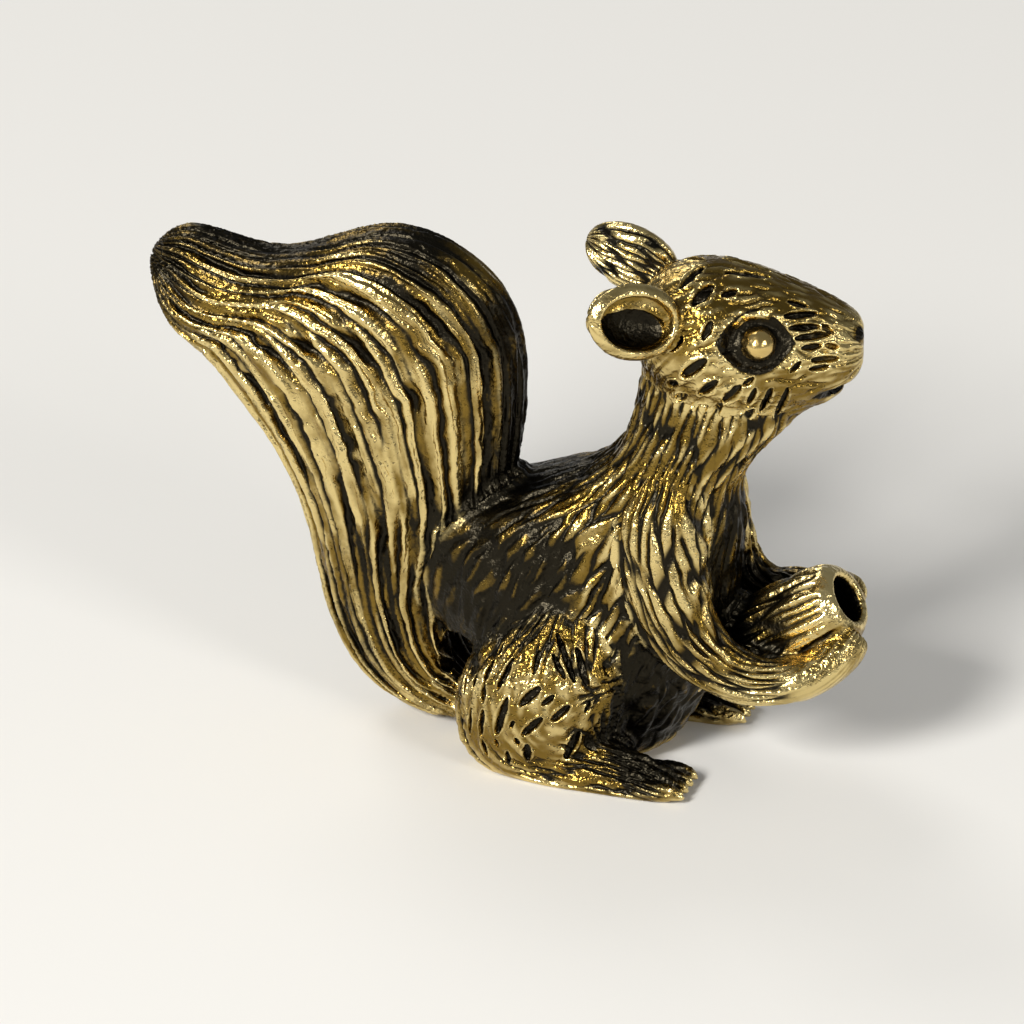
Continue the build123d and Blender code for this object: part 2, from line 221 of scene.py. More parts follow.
def sampleField(field, points):
    place = points / voxel - lowIndex
    place = np.clip(place, 0, np.array(field.shape) - 1.001)
    base = place.astype(int)
    share = place - base
    result = np.zeros(len(points))
    for corner in range(8):
        step = np.array([corner & 1, (corner >> 1) & 1, (corner >> 2) & 1])
        weight = np.prod(np.where(step, share, 1.0 - share), axis=1)
        index = base + step
        result += weight * field[index[:, 0], index[:, 1], index[:, 2]]
    return result


def skinNormals(points):
    normals = np.empty_like(points)
    for axis in range(3):
        move = np.zeros(3)
        move[axis] = voxel
        normals[:, axis] = (sampleField(skinLevel, points + move)
                            - sampleField(skinLevel, points - move))
    length = np.linalg.norm(normals, axis=1, keepdims=True)
    return normals / np.maximum(length, 1e-9)


# closed quad mesh of one casting, flush with its neighbours
def castingMesh(name):
    field, part, low = fields[name]
    number = castNodes.index(name)
    others = np.where(owner[part] == number, second[part], nearest[part])
    ownShare = (field - others) / 2 - skin["seamLap"]
    level = np.maximum(np.maximum(skinLevel[part], ownShare), -pinField[part])
    level = np.clip(level, -bandWidth, bandWidth).astype(np.float32)
    for axis in range(3):   # the block's outside is empty, so the mesh closes
        edge = [slice(None)] * 3
        for end in (0, -1):
            edge[axis] = end
            level[tuple(edge)] = np.maximum(level[tuple(edge)], voxel)
    grid = vdb.FloatGrid(bandWidth)
    grid.transform = gridTurn
    grid.copyFromArray(level, ijk=tuple(int(i) for i in low))
    points, quads = grid.convertToQuads(isovalue=0.0)
    points = points.astype(float)
    quads = quads.astype(np.int64)
    a, b, c, d = (points[quads[:, i]] for i in range(4))
    volume = np.einsum("ij,ij->i", (a + b + c + d) / 4, np.cross(c - a, d - b)).sum()
    if volume < 0:
        quads = quads[:, ::-1]
    return points, quads


# each quad in four, with the new points drawn onto the skin
def finerMesh(points, quads):
    ahead = np.roll(quads, -1, axis=1)
    keys = np.minimum(quads, ahead) * len(points) + np.maximum(quads, ahead)
    edges, where = np.unique(keys.ravel(), return_inverse=True)
    middles = (points[edges // len(points)] + points[edges % len(points)]) / 2
    edge = len(points) + where.reshape(-1, 4)
    centre = len(points) + len(edges) + np.arange(len(quads))
    result = np.vstack([points, middles, points[quads].mean(1)])
    parts = [np.stack([quads[:, i], edge[:, i], centre, edge[:, (i + 3) % 4]], axis=1)
             for i in range(4)]
    level = sampleField(skinLevel, result)
    level = np.where(np.abs(level) < skin["drawnLimit"], level, 0.0)
    result -= skinNormals(result) * level[:, None]
    return result, np.vstack(parts)


def meshObject(name, points, quads, values):
    mesh = bpy.data.meshes.new(name)
    mesh.vertices.add(len(points))
    mesh.vertices.foreach_set("co", (points * mm).astype(np.float32).ravel())
    mesh.loops.add(quads.size)
    mesh.polygons.add(len(quads))
    mesh.loops.foreach_set("vertex_index", quads.astype(np.int32).ravel())
    mesh.polygons.foreach_set("loop_start", np.arange(0, quads.size, 4, dtype=np.int32))
    mesh.update(calc_edges=True)
    mesh.validate()
    for key, value in values.items():
        kind, field = ("FLOAT_VECTOR", "vector") if value.ndim == 2 else ("FLOAT", "value")
        store = mesh.attributes.new(key, kind, "POINT")
        store.data.foreach_set(field, value.astype(np.float32).ravel())
    piece = bpy.data.objects.new(name, mesh)
    bpy.context.scene.collection.objects.link(piece)
    return piece


# smooth curve through rows of numbers
def smoothRows(rows, count):
    rows = np.array(rows, float)
    rows = np.vstack([2 * rows[0] - rows[1], rows, 2 * rows[-1] - rows[-2]])
    place = np.linspace(0, len(rows) - 3, count)
    start = np.minimum(place.astype(int), len(rows) - 4)
    t = (place - start)[:, None]
    a, b, c, d = (rows[start + i] for i in range(4))
    return 0.5 * (2 * b + (c - a) * t + (2 * a - 5 * b + 4 * c - d) * t ** 2
                  + (3 * b - a - 3 * c + d) * t ** 3)


def runLength(rows):
    return np.concatenate([[0.0], np.cumsum(np.linalg.norm(np.diff(rows, axis=0), axis=1))])


# samples along a line or the ribs, and the square of the reach in mm over which a line's parts blend
flowLook = {"lineSamples": 44, "ribSamples": 150, "blendSquare": 9.0}


# fur coordinates round a line through a form: across and along, in mm
def lineFlow(points, line, outward, radius):
    points = points.astype(np.float32)
    middle = smoothRows(line, flowLook["lineSamples"]).astype(np.float32)
    along = np.gradient(middle, axis=0)
    along /= np.linalg.norm(along, axis=1, keepdims=True)
    length = runLength(middle)
    outward = np.array(outward, np.float32)
    front = outward - along * (along @ outward)[:, None]
    front /= np.linalg.norm(front, axis=1, keepdims=True)
    side = np.cross(along, front)
    reach = points[:, None, :] - middle[None]
    away = (reach ** 2).sum(2)
    weight = np.exp(-(away - away.min(1, keepdims=True)) / flowLook["blendSquare"])
    weight /= weight.sum(1, keepdims=True)
    place = (weight * (length[None] + np.einsum("vmk,mk->vm", reach, along))).sum(1)
    frontShare = (weight * np.einsum("vmk,mk->vm", reach, front)).sum(1)
    sideShare = (weight * np.einsum("vmk,mk->vm", reach, side)).sum(1)
    turn = np.arctan2(sideShare, frontShare)
    return np.stack([turn * radius, place, np.zeros(len(points))], axis=1)


# fur coordinates of the tail, fanning with its ribs
def ribFlow(points, ribs, radius):
    rows = smoothRows([front + back + (half,) for front, back, half in ribs], flowLook["ribSamples"])
    front, back, half = rows[:, 0:2], rows[:, 2:4], rows[:, 4]
    middle = (front + back) / 2
    across = (back - front) / 2
    reach = np.linalg.norm(across, axis=1)
    across /= reach[:, None]
    along = np.stack([-across[:, 1], across[:, 0]], axis=1)
    onward = np.gradient(middle, axis=0)
    along *= np.sign((along * onward).sum(1))[:, None]
    length = runLength(middle)
    flat = points[:, [0, 2]]
    ahead = flat @ along.T - (middle * along).sum(1)[None]
    place = (flat @ across.T - (middle * across).sum(1)[None]) / reach[None]
    passes = (ahead[:, :-1] >= 0) & (ahead[:, 1:] < 0)
    cost = np.where(passes, np.abs(place[:, :-1]), 99.0)
    rib = cost.argmin(1)
    every = np.arange(len(points))
    lost = cost[every, rib] > 50
    rib = np.where(lost, np.where(ahead[:, 0] < 0, 0, len(rows) - 2), rib)
    share = ahead[every, rib] / np.maximum(ahead[every, rib] - ahead[every, rib + 1], 1e-6)
    share = np.clip(share, 0.0, 1.0)
    q = place[every, rib] * (1 - share) + place[every, rib + 1] * share
    thick = half[rib] * (1 - share) + half[rib + 1] * share
    run = length[rib] * (1 - share) + length[rib + 1] * share
    turn = np.arctan2(points[:, 1] / thick, q)
    even = np.sign(points[:, 1]) * (1 - np.clip(q, -1, 1)) / 2 * math.pi
    return np.stack([(0.55 * turn + 0.45 * even) * radius, run, np.zeros(len(points))], axis=1)


def addNode(tree, kind, inputs=None, **settings):
    node = tree.nodes.new(kind)
    for name, value in settings.items():
        setattr(node, name, value)
    for name, value in (inputs or {}).items():
        if isinstance(value, bpy.types.NodeSocket):
            tree.links.new(value, node.inputs[name])
        else:
            node.inputs[name].default_value = value
    return node


def mathNode(tree, operation, first, other):
    return addNode(tree, "ShaderNodeMath", {0: first, 1: other}, operation=operation).outputs[0]


# plus, minus, times, over and larger for one tree
def arithmetic(tree):
    return [lambda first, other, operation=operation: mathNode(tree, operation, first, other)
            for operation in ("ADD", "SUBTRACT", "MULTIPLY", "DIVIDE", "MAXIMUM")]


def rangeNode(tree, value, low, high, toLow=0.0, toHigh=1.0, kind="SMOOTHSTEP"):
    inputs = {"Value": value, "From Min": low, "From Max": high, "To Min": toLow, "To Max": toHigh}
    return addNode(tree, "ShaderNodeMapRange", inputs, interpolation_type=kind).outputs[0]


# inputs of the fur tree, lengths in mm but for the depths, and what all pieces share
furInputs = {"Lock width": 1.0, "Lock length": 4.0, "Long": 0.0, "Depth": 0.3 * mm, "Groove share": 0.3,
             "Broken": 0.3, "Waviness": 0.5, "Hairline": 0.3, "Fine width": 0.7, "Lumps": 0.08 * mm,
             "Stain": 1.0, "Seed": 0.0}
furLook = {
    "cellChance": 0.9, "longChance": 0.8,
    "swaySize": 0.11, "swayReach": 6.0, "wobbleSize": 0.6, "wobbleReach": 1.6,
    "breakSize": 0.9, "breakEdge": 0.12, "ridgeWidth": 0.5, "ridgeKept": 0.4, "valleyShare": 0.5,
    "hairsAcross": 3.4, "hairsAlong": 0.9, "hairRange": (0.56, 0.34), "hairStain": 0.3,
    "fineLength": 3.6, "fineEdge": 0.4, "fineDepth": 0.6, "fineStain": 0.7,
    "brightEdge": (0.26, 0.42), "brightSize": 1.7, "brightRange": (0.48, 0.6), "brightShare": 0.7,
    "lumpSize": 1300.0, "strandShare": 0.6, "lockShare": 0.4, "lockCrest": (0.05, 0.42),
}


# Geometry Nodes tree that carves locks and fine hairs into a skin
def furTree():
    tree = bpy.data.node_groups.new("carvedFur", "GeometryNodeTree")
    tree.interface.new_socket("Geometry", in_out="INPUT", socket_type="NodeSocketGeometry")
    for name, value in furInputs.items():
        socket = tree.interface.new_socket(name, in_out="INPUT", socket_type="NodeSocketFloat")
        socket.default_value = value
    tree.interface.new_socket("Finish", in_out="INPUT", socket_type="NodeSocketMaterial")
    tree.interface.new_socket("Geometry", in_out="OUTPUT", socket_type="NodeSocketGeometry")
    given = addNode(tree, "NodeGroupInput").outputs
    plus, minus, times, over, larger = arithmetic(tree)
    look = furLook

    def stored(name, kind="FLOAT"):
        node = addNode(tree, "GeometryNodeInputNamedAttribute", {"Name": name}, data_type=kind)
        return node.outputs["Attribute"]

    def noise(vector, size, detail=1.0, dimensions="3D"):
        return addNode(tree, "ShaderNodeTexNoise", {"Vector": vector, "Scale": size, "Detail": detail},
                       noise_dimensions=dimensions).outputs[0]

    def fromCellEdge(dimensions, key, value, chance):
        return addNode(tree, "ShaderNodeTexVoronoi", {key: value, "Scale": 1.0, "Randomness": chance},
                       voronoi_dimensions=dimensions, feature="DISTANCE_TO_EDGE").outputs["Distance"]

    def vector(x, y, z=0.0):
        return addNode(tree, "ShaderNodeCombineXYZ", {"X": x, "Y": y, "Z": z}).outputs[0]

    def mixed(first, firstShare, other, otherShare):
        return plus(times(first, firstShare), times(other, otherShare))

    flow = stored("furFlow", "FLOAT_VECTOR")
    amount = stored("furDepth")
    fineShare = stored("fineShare")
    parts = addNode(tree, "ShaderNodeSeparateXYZ", {0: flow}).outputs
    seedling = vector(given["Seed"], given["Seed"], given["Seed"])
    drifting = addNode(tree, "ShaderNodeVectorMath", {0: flow, 1: seedling}, operation="ADD").outputs[0]

    # slow drift of the locks, and a quicker wobble of their edges
    def drift(size, reach):
        return times(minus(noise(drifting, size), 0.5), times(given["Waviness"], reach))

    wobble = drift(look["wobbleSize"], look["wobbleReach"])
    swayed = plus(parts[0], plus(drift(look["swaySize"], look["swayReach"]), wobble))
    across = over(swayed, given["Lock width"])
    along = over(plus(parts[1], wobble), given["Lock length"])
    seeded = plus(across, given["Seed"])
    place = vector(seeded, along)

    # grooves between locks, broken into strokes
    short = fromCellEdge("2D", "Vector", place, look["cellChance"])
    long = fromCellEdge("1D", "W", seeded, look["longChance"])
    fromEdge = plus(short, times(given["Long"], minus(long, short)))
    kept = rangeNode(tree, noise(place, look["breakSize"], 1.0, "2D"),
                     minus(given["Broken"], look["breakEdge"]),
                     plus(given["Broken"], look["breakEdge"]))
    valley = minus(1.0, rangeNode(tree, fromEdge, 0.0, given["Groove share"]))
    valley = times(valley, kept)
    ridge = minus(1.0, rangeNode(tree, fromEdge, 0.0, look["ridgeWidth"]))
    ridge = times(ridge, rangeNode(tree, kept, 0.0, 1.0, look["ridgeKept"], 1.0))
    stroke = mixed(valley, look["valleyShare"], ridge, 1.0 - look["valleyShare"])

    # fine hairs along each lock, and close scratches where the coat is short
    hairs = vector(times(across, look["hairsAcross"]), times(along, look["hairsAlong"]))
    hair = rangeNode(tree, noise(hairs, 1.0, 1.5, "2D"), *look["hairRange"])
    hair = times(hair, given["Hairline"])
    thin = vector(over(swayed, given["Fine width"]), over(parts[1], look["fineLength"]))
    thin = fromCellEdge("2D", "Vector", thin, look["cellChance"])
    scratch = minus(1.0, rangeNode(tree, thin, 0.0, look["fineEdge"]))
    scratch = times(scratch, fineShare)
    rest = minus(1.0, fineShare)
    cut = mixed(larger(stroke, hair), rest, scratch, look["fineDepth"])
    fade = times(cut, amount)
    stain = larger(valley, times(hair, look["hairStain"]))
    stain = mixed(stain, rest, scratch, look["fineStain"])
    bright = rangeNode(tree, noise(place, look["brightSize"], 1.0, "2D"), *look["brightRange"])
    bright = times(rangeNode(tree, thin, *look["brightEdge"]), bright)
    bright = times(bright, times(fineShare, look["brightShare"]))
    stain = times(minus(stain, bright), amount)
    stain = times(stain, given["Stain"])

    # uneven cast surface
    where = addNode(tree, "GeometryNodeInputPosition").outputs[0]
    lump = minus(noise(where, look["lumpSize"], 2.0), 0.5)
    lump = times(times(lump, given["Lumps"]), stored("skinShare"))
    inward = minus(lump, times(fade, given["Depth"]))
    move = addNode(tree, "ShaderNodeVectorMath", {0: stored("skinNormal", "FLOAT_VECTOR"), "Scale": inward},
                   operation="SCALE").outputs[0]
    shape = addNode(tree, "GeometryNodeSetPosition", {"Geometry": given["Geometry"], "Offset": move}).outputs[0]
    crest = mixed(stored("strandCrest"), look["strandShare"],
                  rangeNode(tree, fromEdge, *look["lockCrest"]), look["lockShare"])
    deepest = larger(times(stored("strandGroove"), rest), stain)
    for name, value in (("groove", deepest), ("crest", crest)):
        inputs = {"Geometry": shape, "Name": name, "Value": value}
        shape = addNode(tree, "GeometryNodeStoreNamedAttribute", inputs,
                        data_type="FLOAT", domain="POINT").outputs[0]
    shape = addNode(tree, "GeometryNodeSetShadeSmooth", {"Geometry": shape}).outputs[0]
    shape = addNode(tree, "GeometryNodeRealizeInstances", {"Geometry": shape}).outputs[0]
    inputs = {"Geometry": shape, "Material": given["Finish"]}
    shape = addNode(tree, "GeometryNodeSetMaterial", inputs).outputs[0]
    addNode(tree, "NodeGroupOutput", {"Geometry": shape})
    return tree


patinaLook = {
    "blotchSize": 420.0, "blotchDetail": 3.0, "grainSize": 2600.0, "grainDetail": 2.0,
    "recess": (0.47, 0.68), "recessShare": 0.9, "blotchShare": 0.5, "speckShare": 0.4, "grooveShare": 0.95,
    "dark": (0.2, 0.75), "rub": (0.15, 0.95), "rubBlotch": 1.1, "zoneRubAndLight": 0.8,
    "roughness": (0.22, 0.32), "roughSpeck": 0.25, "blotchHeight": 1.5,
}


# shader group: brass rubbed bright on the heights, dark in the cuts; its Darkness input also paints shade
# (above 0) and highlights (below 0) from the zone tables
def patinaAndPaintedLightGroup():
    group = bpy.data.node_groups.new("rubbedPatinaAndPaintedLight", "ShaderNodeTree")
    for way, kind, names in [("INPUT", "NodeSocketColor", ("Brass", "Bright brass", "Patina and painted shade")),
                             ("INPUT", "NodeSocketFloat", ("Groove", "Recess", "Crest", "Darkness")),
                             ("OUTPUT", "NodeSocketColor", ("Color",)),
                             ("OUTPUT", "NodeSocketFloat", ("Roughness", "Height"))]:
        for name in names:
            group.interface.new_socket(name, in_out=way, socket_type=kind)
    given = addNode(group, "NodeGroupInput").outputs
    where = addNode(group, "ShaderNodeTexCoord").outputs["Object"]
    plus, minus, times, _, larger = arithmetic(group)
    look = patinaLook

    def added(value, other, share):
        return plus(value, times(other, share))

    def noise(size, detail):
        return addNode(group, "ShaderNodeTexNoise", {"Vector": where, "Scale": size, "Detail": detail,
                                                     "Roughness": 0.6}).outputs[0]

    def mix(share, first, other):
        return addNode(group, "ShaderNodeMix", {0: share, 6: first, 7: other}, data_type="RGBA").outputs[2]

    blotch = noise(look["blotchSize"], look["blotchDetail"])
    grain = noise(look["grainSize"], look["grainDetail"])
    deep = rangeNode(group, given["Recess"], *look["recess"])
    uneven = minus(blotch, 0.5)
    speck = times(minus(grain, 0.5), look["speckShare"])
    wear = plus(times(deep, look["recessShare"]), given["Darkness"])
    wear = plus(wear, plus(times(uneven, look["blotchShare"]), speck))
    wear = larger(wear, 0.0)
    mask = rangeNode(group, added(wear, given["Groove"], look["grooveShare"]), *look["dark"])
    polish = added(given["Crest"], uneven, look["rubBlotch"])
    # above-zero darkness dulls the brass with painted shade, below-zero darkness brightens it with a painted
    # highlight
    polish = minus(polish, times(given["Darkness"], look["zoneRubAndLight"]))
    metal = mix(rangeNode(group, polish, *look["rub"]), given["Brass"], given["Bright brass"])
    colour = mix(mask, metal, given["Patina and painted shade"])
    rough = rangeNode(group, mask, 0.0, 1.0, *look["roughness"], "LINEAR")
    rough = added(rough, speck, look["roughSpeck"])
    height = added(grain, blotch, look["blotchHeight"])
    addNode(group, "NodeGroupOutput", {"Color": colour, "Roughness": rough, "Height": height})
    return group


patina = patinaAndPaintedLightGroup()


def brassFinish(name, brass, bright, dark, darkness, grainHeight):
    material = bpy.data.materials.new(name)
    material.use_nodes = True
    tree = material.node_tree
    shader = tree.nodes["Principled BSDF"]

    def stored(key):
        return addNode(tree, "ShaderNodeAttribute", attribute_name=key).outputs["Fac"]

    # Darkness: per-point patina, painted shade and painted highlights, plus the material's own offset
    layer = addNode(tree, "ShaderNodeGroup", {
        "Brass": (*brass, 1.0), "Bright brass": (*bright, 1.0), "Patina and painted shade": (*dark, 1.0),
        "Groove": stored("groove"), "Recess": stored("recess"), "Crest": stored("crest"),
        "Darkness": mathNode(tree, "ADD", stored("patinaAndPaintedLight"), darkness)}, node_tree=patina).outputs
    inputs = {"Height": layer["Height"], "Strength": 0.5, "Distance": grainHeight}
    bump = addNode(tree, "ShaderNodeBump", inputs)
    for key, value in [("Base Color", layer["Color"]), ("Roughness", layer["Roughness"]),
                       ("Normal", bump.outputs[0])]:
        tree.links.new(value, shader.inputs[key])
    shader.inputs["Metallic"].default_value = 1.0
    return material


# material name, brass, rubbed brass that also shows painted highlights, patina that also shows painted shade,
# added darkness, height of the grain in metres
patinaAndShadeDark = (0.021, 0.018, 0.012)
warmBrass, rubAndHighlightBrass = (0.22, 0.14, 0.028), (0.76, 0.60, 0.26)
finishes = {
    "body": brassFinish("rubbedBodyBrassAndPaintedLight", warmBrass, rubAndHighlightBrass, patinaAndShadeDark, 0.0, 0.0002),
    "tail": brassFinish("rubbedTailBrassAndPaintedLight", warmBrass, rubAndHighlightBrass, patinaAndShadeDark, 0.0, 0.0002),
    "nut": brassFinish("rubbedNutBrassAndPaintedLight", (0.27, 0.175, 0.038), (0.78, 0.62, 0.28), patinaAndShadeDark, 0.0, 0.00018),
    "eye": brassFinish("polishedEyeBrass", (0.42, 0.27, 0.08), (0.70, 0.51, 0.19), (0.03, 0.022, 0.01),
                       -0.25, 0.00004),
    "pin": brassFinish("drawnPinBrass", (0.55, 0.39, 0.15), (0.68, 0.5, 0.22), (0.05, 0.035, 0.015),
                       -0.3, 0.00003),
}

# the tail's ribs: front edge, back edge (X, Z) and half thickness in mm
tail = {
    "ribs": [
        ((1.0, 5.0), (-5.0, 0.2), 4.0),
        ((-1.5, 9.0), (-11.8, 2.3), 4.6),
        ((-1.0, 14.5), (-15.9, 9.2), 5.0),
        ((0.3, 20.5), (-17.6, 16.6), 5.6),
        ((1.2, 27.5), (-20.0, 22.0), 6.2),
        ((0.9, 34.8), (-22.4, 25.1), 6.2),
        ((-2.9, 40.6), (-24.5, 27.6), 5.8),
        ((-9.2, 42.7), (-26.2, 29.2), 5.2),
        ((-15.6, 40.7), (-27.5, 30.2), 4.5),
        ((-21.2, 39.5), (-28.7, 31.3), 3.9),
        ((-26.2, 40.4), (-29.6, 33.0), 3.2),
        ((-29.0, 39.5), (-30.3, 35.6), 2.0),
        ((-30.0, 38.5), (-30.5, 37.0), 0.8),
    ],
    "flowRadius": 6.7,
    "fur": {"Lock width": 1.35, "Lock length": 12.0, "Long": 1.0, "Depth": 0.55 * mm, "Groove share": 0.26,
            "Broken": 0.34, "Waviness": 0.4, "Hairline": 0.5, "Lumps": 0.12 * mm, "Seed": 3.0},
}

trunk = {
    "line": [(17.5, 0, 38), (16.0, 0, 31), (14.0, 0, 25), (10.0, 0, 18), (6.5, 0, 10), (4.5, 0, 2),
             (4.0, 0, -3)],
    "outward": (-1.0, 0, 0.35),
    "flowRadius": 7.0,
    "fur": {"Lock width": 0.95, "Lock length": 4.6, "Depth": 0.36 * mm, "Groove share": 0.22,
            "Broken": 0.36, "Waviness": 0.3, "Hairline": 0.3, "Seed": 11.0},
    "fineSpots": [((0.5, -7.5, 15.5), 5.0, 8.5), ((0.5, 7.5, 15.5), 5.0, 8.5), ((14.0, -5.0, 6.0), 4.0, 7.0),
                  ((14.0, 5.0, 6.0), 4.0, 7.0), ((-5.0, 0.0, 20.0), 5.0, 8.0), ((19.0, 0.0, 17.0), 3.0, 6.0)],
}

head = {
    "line": [headPoint(13, 0, 36.2), headPoint(8, 0, 36.4), headPoint(2, 0, 36.6), headPoint(-2.5, 0, 35.2),
             headPoint(-3.0, 0, 31)],
    "outward": (-0.2, 0, 1.0),
    "flowRadius": 6.0,
    "fur": {"Lock width": 0.9, "Lock length": 2.4, "Depth": 0.2 * mm, "Groove share": 0.26,
            "Broken": 0.55, "Waviness": 0.5, "Hairline": 0.15, "Lumps": 0.12 * mm, "Stain": 0.4, "Finer": 1,
            "Seed": 23.0},
    "bare": [(headPoint(4.4, -6.0, 39.2), 2.3, 3.2), (headPoint(4.4, 6.0, 39.2), 2.3, 3.2),
             (headPoint(12.2, 0, 36.6), 1.0, 2.2), (headPoint(11.5, 0, 33.2), 1.4, 2.6)],
    "shades": [(headPoint(11.7, -1.3, 37.9), 0.4, 0.9, 1.0), (headPoint(11.7, 1.3, 37.9), 0.4, 0.9, 1.0),
               (headPoint(3.0, 0.0, 44.5), 2.0, 6.0, 0.06), (headPoint(8.5, 0.0, 41.5), 1.0, 4.0, 0.06)],
    "eyeMiddle": (3.6, 5.5, 39.1), "eyeFacing": (0.18, 0.90, 0.40), "eyeHalf": (3.3, 2.7),
    "eyeReach": 2.5, "eyeDark": 1.2,
    "lidArc": (2.25, 0.35, 70.0, 150.0),     # radius, half width, first and last angle of the bright lid edge
    "lidShift": 0.3, "lidFade": 15, "lidBright": 1.8,
    "mouthBack": headPoint(7.6, 0, 33.2), "mouthFront": headPoint(12.6, 0, 33.3),
    "mouthHalf": 0.45, "mouthDepth": 0.2, "mouthDark": 1.4,
    "strokeDepth": 0.34,
    # tool marks on the right side, two ends as forward, side and height, then half width
    "strokes": [
        ((6.2, -2.4, 41.3), (7.6, -2.1, 40.7), 0.26), ((5.9, -3.5, 40.5), (8.4, -2.3, 40.2), 0.28),
        ((6.3, -4.0, 39.7), (8.6, -3.0, 39.4), 0.28), ((8.9, -2.8, 39.4), (9.7, -2.8, 38.7), 0.24),
        ((6.8, -4.2, 38.9), (9.4, -3.0, 38.7), 0.28), ((7.3, -4.3, 38.1), (8.7, -3.7, 38.0), 0.26),
        ((9.2, -3.6, 38.0), (10.1, -3.2, 37.6), 0.24), ((8.1, -4.3, 37.0), (10.1, -3.4, 36.7), 0.28),
        ((7.9, -4.4, 36.3), (9.4, -3.8, 36.2), 0.24), ((-2.2, -5.5, 36.2), (-0.5, -5.9, 37.8), 0.42),
        ((-0.8, -5.4, 34.6), (0.4, -6.0, 36.0), 0.38), ((-3.4, -4.6, 34.6), (-2.7, -4.9, 35.5), 0.36),
        ((1.0, -5.5, 33.9), (2.3, -6.0, 35.5), 0.4), ((-2.8, -4.5, 33.4), (-2.0, -4.9, 34.2), 0.32),
        ((-1.0, -4.5, 32.6), (-0.3, -4.8, 33.4), 0.34), ((0.2, -3.8, 32.0), (0.8, -5.3, 33.6), 0.32),
        ((2.6, -5.9, 35.6), (3.3, -5.9, 36.2), 0.3), ((2.6, -4.4, 32.0), (3.3, -4.8, 33.0), 0.34),
        ((3.5, -5.8, 35.2), (3.0, -5.3, 33.6), 0.26), ((6.4, -5.0, 36.4), (7.1, -4.7, 37.0), 0.26),
        ((4.8, -5.5, 35.0), (4.0, -4.7, 32.8), 0.28), ((6.1, -5.0, 34.8), (5.1, -3.7, 31.9), 0.28),
        ((-1.3, -3.8, 41.8), (0.0, -2.7, 42.7), 0.5), ((-2.3, -2.4, 42.5), (-0.6, -0.6, 43.3), 0.32),
        ((1.3, -1.2, 43.3), (4.6, -0.5, 42.5), 0.34), ((1.0, -3.4, 42.3), (2.0, -2.9, 42.5), 0.32),
        ((-3.2, -5.3, 38.4), (-2.4, -5.6, 39.6), 0.32), ((-0.6, -5.6, 39.6), (0.0, -5.2, 40.8), 0.3),
    ],
}

ear = {
    # of the left ear, as forward, side and height on the head
    "middle": (-6.1, 5.6, 41.1), "pointing": (-6.9, 2.65, 2.25), "facing": (0.406, 0.892, 0.194),
    "flowRadius": 3.0, "flowHalf": 5.0,
    "cupDark": 1.5, "backBright": 0.35, "rimBright": 0.3,
    "cupHalf": (2.75, 1.55), "cupDrop": 0.55,    # dark hollow, and how far below the ear's middle it sits
    "cupEdge": (3.2, 2.3), "rimFill": 0.8,       # inner edge of the rim, which thickens this far at the top
    "fur": {"Lock width": 0.9, "Lock length": 3.6, "Depth": 0.26 * mm, "Groove share": 0.34,
            "Broken": 0.3, "Waviness": 0.2, "Hairline": 0.2, "Finer": 1, "Seed": 31.0},
}

